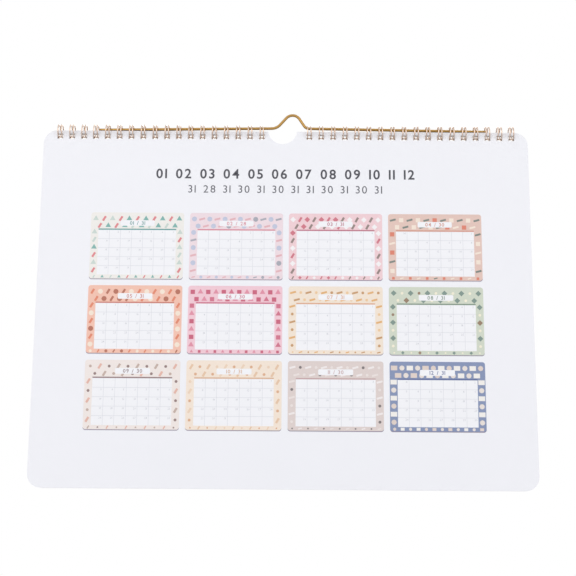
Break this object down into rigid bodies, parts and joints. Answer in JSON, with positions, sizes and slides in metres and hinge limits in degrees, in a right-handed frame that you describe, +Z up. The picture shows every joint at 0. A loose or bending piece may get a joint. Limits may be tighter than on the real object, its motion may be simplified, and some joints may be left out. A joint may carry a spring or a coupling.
{
  "type": "wall calendar",
  "caption": "Landscape wire-bound wall calendar with card covers, a block of month pages, twin-loop wire along the top and a bent wire hanger for a nail.",
  "frame": {"origin": "the point under the hanger's hump that bears on the nail", "axes": "+X to the right along the binding, +Y towards the wall, +Z up; the printed back cover faces -Y"},
  "size_m": [0.345, 0.0104, 0.2657],
  "materials": {
    "hanger_wire": "brass-plated steel wire, satin",
    "binding_wire": "rose-gold lacquered steel wire, glossy",
    "cover_card": "coated white card, satin",
    "page_paper": "uncoated white paper, matt",
    "shadow_print": "printed grey rim, satin",
    "panel_print": "unprinted white window, satin",
    "grid_print": "printed pale grey lines, satin",
    "label_print": "white label, satin",
    "heading_print": "printed dark grey numerals, satin",
    "heading_light_print": "printed grey numerals, satin",
    "month_01_field": "printed colour field, satin",
    "month_01_main_motifs": "printed motifs and header line, satin",
    "month_01_second_motifs": "printed motifs, satin",
    "month_02_field": "printed colour field, satin",
    "month_02_main_motifs": "printed motifs and header line, satin",
    "month_02_second_motifs": "printed motifs, satin",
    "month_03_field": "printed colour field, satin",
    "month_03_main_motifs": "printed motifs and header line, satin",
    "month_03_second_motifs": "printed motifs, satin",
    "month_04_field": "printed colour field, satin",
    "month_04_main_motifs": "printed motifs and header line, satin",
    "month_04_second_motifs": "printed motifs, satin",
    "month_05_field": "printed colour field, satin",
    "month_05_main_motifs": "printed motifs and header line, satin",
    "month_05_second_motifs": "printed motifs, satin",
    "month_06_field": "printed colour field, satin",
    "month_06_main_motifs": "printed motifs and header line, satin",
    "month_06_second_motifs": "printed motifs, satin",
    "month_07_field": "printed colour field, satin",
    "month_07_main_motifs": "printed motifs and header line, satin",
    "month_07_second_motifs": "printed motifs, satin",
    "month_08_field": "printed colour field, satin",
    "month_08_main_motifs": "printed motifs and header line, satin",
    "month_08_second_motifs": "printed motifs, satin",
    "month_09_field": "printed colour field, satin",
    "month_09_main_motifs": "printed motifs and header line, satin",
    "month_09_second_motifs": "printed motifs, satin",
    "month_10_field": "printed colour field, satin",
    "month_10_main_motifs": "printed motifs and header line, satin",
    "month_10_second_motifs": "printed motifs, satin",
    "month_11_field": "printed colour field, satin",
    "month_11_main_motifs": "printed motifs and header line, satin",
    "month_11_second_motifs": "printed motifs, satin",
    "month_12_field": "printed colour field, satin",
    "month_12_main_motifs": "printed motifs and header line, satin",
    "month_12_second_motifs": "printed motifs, satin"
  },
  "bodies": {
    "hanger": {"hanger": "hanger_wire"},
    "bound_block": {"binding_wire_left": "binding_wire", "binding_wire_right": "binding_wire", "month_pages": "page_paper"},
    "back_cover": {"back_cover": "cover_card", "picture_shadows": "shadow_print", "date_panels": "panel_print", "date_columns": "grid_print", "date_rows": "grid_print", "label_plates": "label_print", "heading_month_numbers": "heading_print", "heading_day_numbers": "heading_light_print", "month_01_border": "month_01_field", "month_01_main_motifs": "month_01_main_motifs", "month_01_second_motifs": "month_01_second_motifs", "month_02_border": "month_02_field", "month_02_main_motifs": "month_02_main_motifs", "month_02_second_motifs": "month_02_second_motifs", "month_03_border": "month_03_field", "month_03_main_motifs": "month_03_main_motifs", "month_03_second_motifs": "month_03_second_motifs", "month_04_border": "month_04_field", "month_04_main_motifs": "month_04_main_motifs", "month_04_second_motifs": "month_04_second_motifs", "month_05_border": "month_05_field", "month_05_main_motifs": "month_05_main_motifs", "month_05_second_motifs": "month_05_second_motifs", "month_06_border": "month_06_field", "month_06_main_motifs": "month_06_main_motifs", "month_06_second_motifs": "month_06_second_motifs", "month_07_border": "month_07_field", "month_07_main_motifs": "month_07_main_motifs", "month_07_second_motifs": "month_07_second_motifs", "month_08_border": "month_08_field", "month_08_main_motifs": "month_08_main_motifs", "month_08_second_motifs": "month_08_second_motifs", "month_09_border": "month_09_field", "month_09_main_motifs": "month_09_main_motifs", "month_09_second_motifs": "month_09_second_motifs", "month_10_border": "month_10_field", "month_10_main_motifs": "month_10_main_motifs", "month_10_second_motifs": "month_10_second_motifs", "month_11_border": "month_11_field", "month_11_main_motifs": "month_11_main_motifs", "month_11_second_motifs": "month_11_second_motifs", "month_12_border": "month_12_field", "month_12_main_motifs": "month_12_main_motifs", "month_12_second_motifs": "month_12_second_motifs"},
    "front_cover": {"front_cover": "cover_card"}
  },
  "joints": [
    {"name": "block_swing", "type": "hinge", "parent": "hanger", "child": "bound_block", "pos_m": [0, 0, -0.0093], "axis": [1, 0, 0], "range_deg": [-45, 45]},
    {"name": "back_cover_turn", "type": "hinge", "parent": "bound_block", "child": "back_cover", "pos_m": [0, -0.00165, -0.01175], "axis": [-1, 0, 0], "range_deg": [0, 135]},
    {"name": "front_cover_turn", "type": "hinge", "parent": "bound_block", "child": "front_cover", "pos_m": [0, 0.00164, -0.01175], "axis": [1, 0, 0], "range_deg": [0, 135]}
  ]
}
